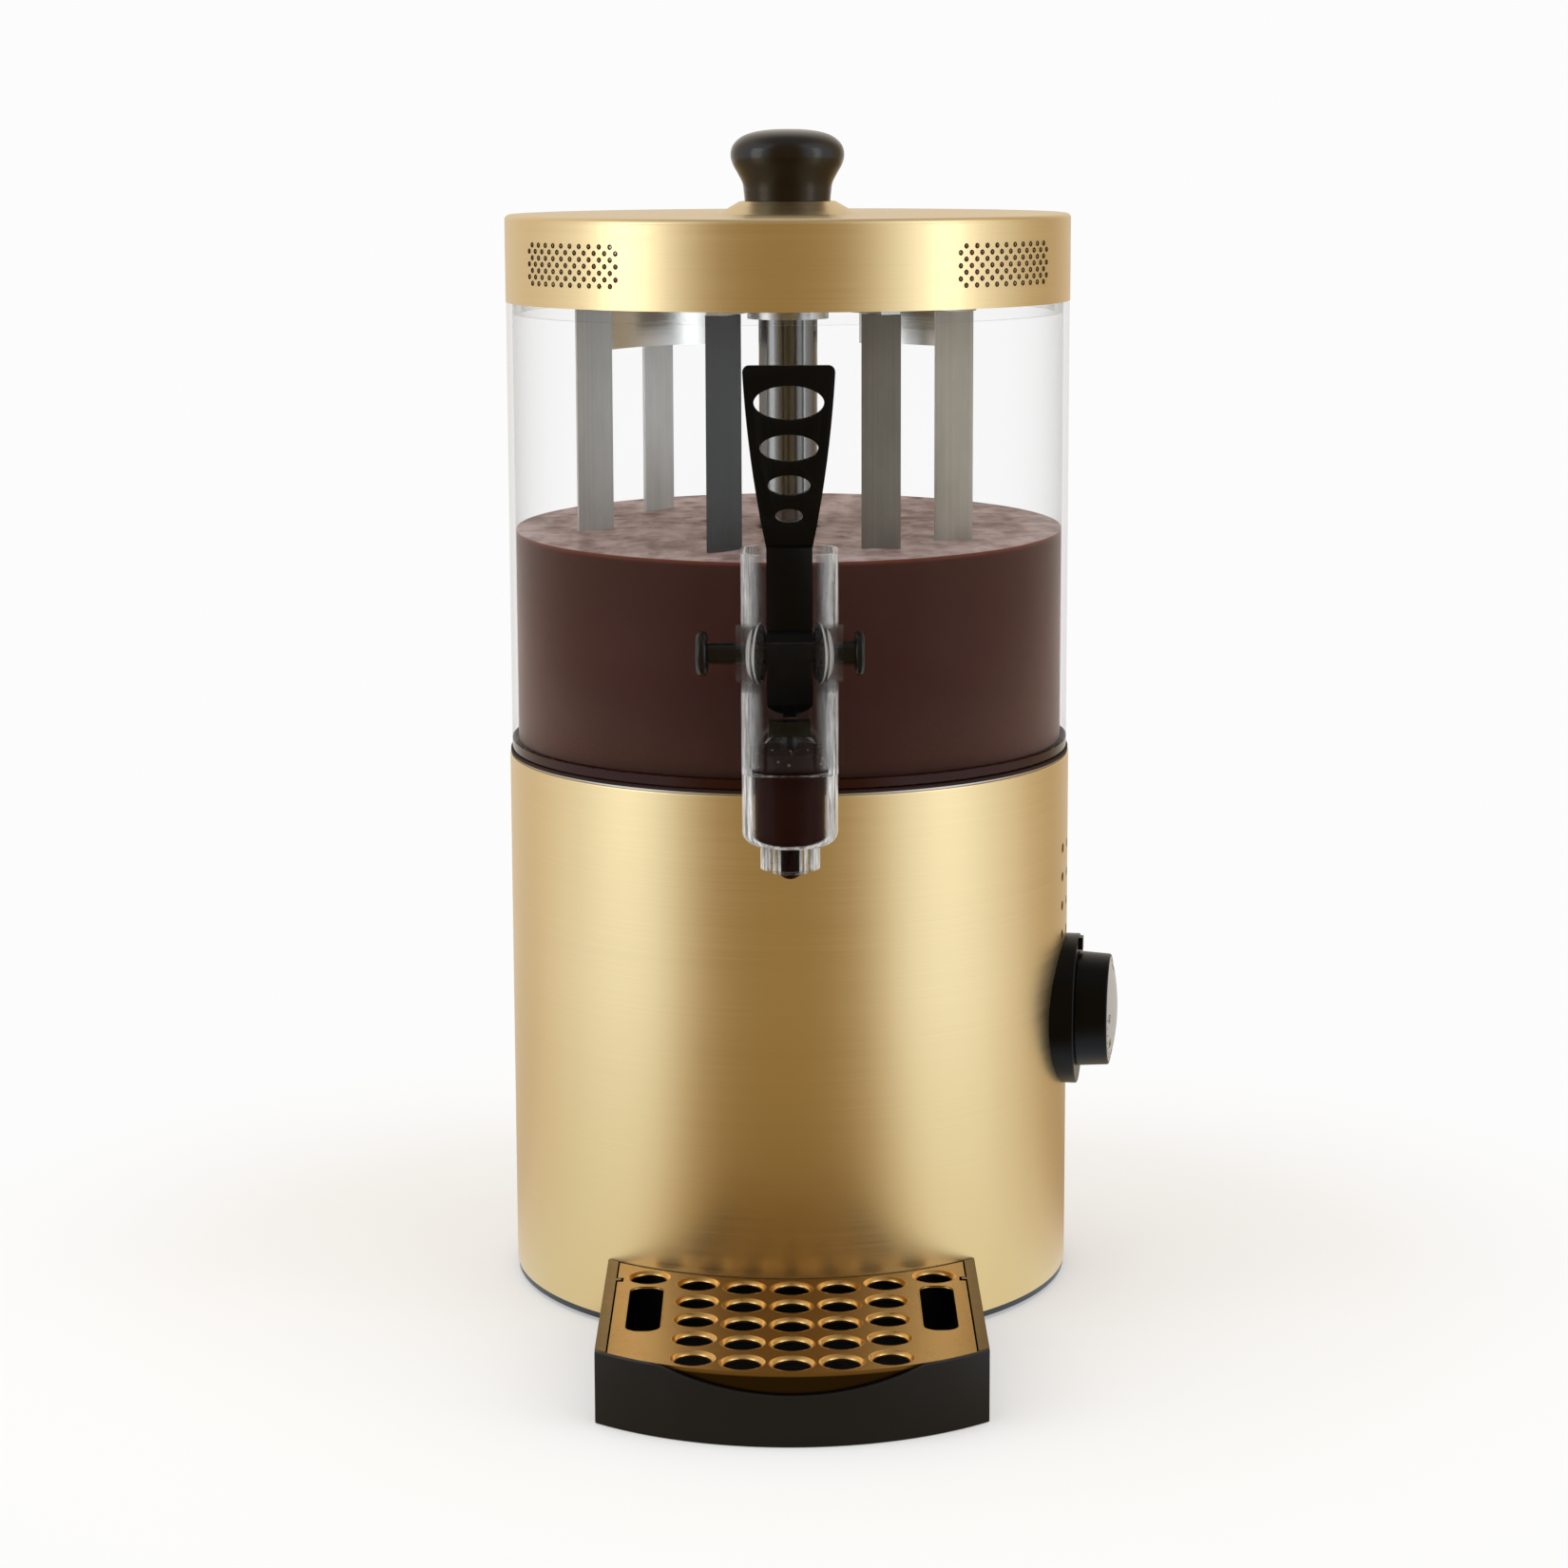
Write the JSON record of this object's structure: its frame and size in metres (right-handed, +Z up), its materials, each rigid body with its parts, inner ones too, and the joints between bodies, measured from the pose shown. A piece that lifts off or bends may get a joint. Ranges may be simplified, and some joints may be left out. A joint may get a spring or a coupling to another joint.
{
  "type": "hot chocolate dispenser machine",
  "caption": "Free-standing hot drink dispenser: clear bowl with a stirrer on a heated gold drum, lever tap at the front over a drip tray, dial at the side.",
  "frame": {"origin": "on the drum's axis, on the counter that the feet stand on", "axes": "+Z up, -Y to the front (tap and drip tray), +X to the side with the dial"},
  "size_m": [0.3041, 0.4195, 0.571],
  "materials": {
    "gold_metal": "gold brushed, satin",
    "steel": "satin",
    "black_plastic": "satin",
    "black_gloss": "gloss",
    "clear_plastic": "clear",
    "chocolate": "wet gloss",
    "rubber_black": "matt",
    "silicone_grey": "matt",
    "cast_alloy": "cast",
    "brass_part": "plain",
    "light_grey": "satin",
    "motor_black": "satin",
    "blade_steel": "satin",
    "knob_brown": "gloss",
    "white_plastic": "matt"
  },
  "bodies": {
    "base": {"rubber_feet": "rubber_black", "base_pan": "black_plastic", "base_shell": "gold_metal", "base_screws": "steel", "bowl_seal": "silicone_grey", "water_tank": "steel", "heating_element": "steel", "element_glands": "brass_part", "motor_posts": "steel", "motor_plate": "steel", "motor_screws": "steel", "gearbox": "cast_alloy", "motor": "motor_black", "shaft_bush": "white_plastic", "dial_bezel": "black_gloss", "bezel_nut": "black_plastic", "thermostat": "white_plastic", "thermostat_probe": "steel", "probe_gland": "brass_part", "cord_gland": "black_plastic", "cord_nut": "black_plastic", "terminal_block": "white_plastic"},
    "drive": {"drive_shaft": "steel", "shaft_coupling": "cast_alloy"},
    "bowl_unit": {"bowl": "clear_plastic", "centre_tube": "steel", "centre_gasket": "silicone_grey", "centre_nut": "white_plastic", "thrust_washer": "white_plastic", "tap_body": "clear_plastic", "tap_gasket": "silicone_grey", "pivot_pin": "black_gloss", "pivot_cap": "black_gloss", "pivot_washers": "steel", "pivot_spacers": "black_gloss", "tap_drink": "chocolate", "spout_drink": "chocolate"},
    "agitator": {"stirrer_sleeve": "steel", "stirrer_hub": "steel", "stirrer_blade_left_side": "blade_steel", "stirrer_blade_left_rear": "blade_steel", "stirrer_blade_left_front": "blade_steel", "stirrer_blade_right_inner": "blade_steel", "stirrer_blade_right_outer": "blade_steel", "stirrer_arcs": "blade_steel", "hot_chocolate": "chocolate"},
    "lid_unit": {"lid": "gold_metal", "lid_ring": "black_plastic", "knob_washer": "steel", "knob_screw": "steel", "lid_knob": "knob_brown"},
    "tap_lever": {"lever": "black_gloss"},
    "tap_plunger": {"plunger": "black_gloss", "plunger_seal": "rubber_black"},
    "dial": {"dial_knob": "black_gloss", "dial_cap": "light_grey", "dial_spindle": "steel"},
    "drip_tray": {"tray": "black_plastic", "tray_rails": "gold_metal"},
    "tray_grid": {"grid": "gold_metal"}
  },
  "joints": [
    {"name": "bowl_lift", "type": "slide", "parent": "base", "child": "bowl_unit", "axis": [0, 0, 1], "range_m": [0, 0.12]},
    {"name": "stirrer_spin", "type": "hinge", "parent": "bowl_unit", "child": "agitator", "pos_m": [0, 0, 0.479], "axis": [0, 0, 1], "continuous": true},
    {"name": "drive_spin", "type": "hinge", "parent": "base", "child": "drive", "pos_m": [0, 0, 0.2], "axis": [0, 0, 1], "continuous": true},
    {"name": "lid_lift", "type": "slide", "parent": "bowl_unit", "child": "lid_unit", "axis": [0, 0, 1], "range_m": [0, 0.1]},
    {"name": "lever_pull", "type": "hinge", "parent": "bowl_unit", "child": "tap_lever", "pos_m": [0, -0.185, 0.3385], "axis": [1, 0, 0], "range_deg": [0, 30]},
    {"name": "plunger_lift", "type": "slide", "parent": "bowl_unit", "child": "tap_plunger", "axis": [0, 0, 1], "range_m": [0, 0.0055]},
    {"name": "dial_turn", "type": "hinge", "parent": "base", "child": "dial", "pos_m": [0, 0, 0.1357], "axis": [0.9877, -0.1564, 0], "range_deg": [0, 270]},
    {"name": "tray_pull", "type": "slide", "parent": "base", "child": "drip_tray", "axis": [0, -1, 0], "range_m": [0, 0.15]},
    {"name": "grid_lift", "type": "slide", "parent": "drip_tray", "child": "tray_grid", "axis": [0, 0, 1], "range_m": [0, 0.06]}
  ],
  "couplings": [
    {"joint": "drive_spin", "follows": "stirrer_spin", "ratio": 1},
    {"joint": "plunger_lift", "follows": "lever_pull", "m_per_rad": 0.0105}
  ]
}
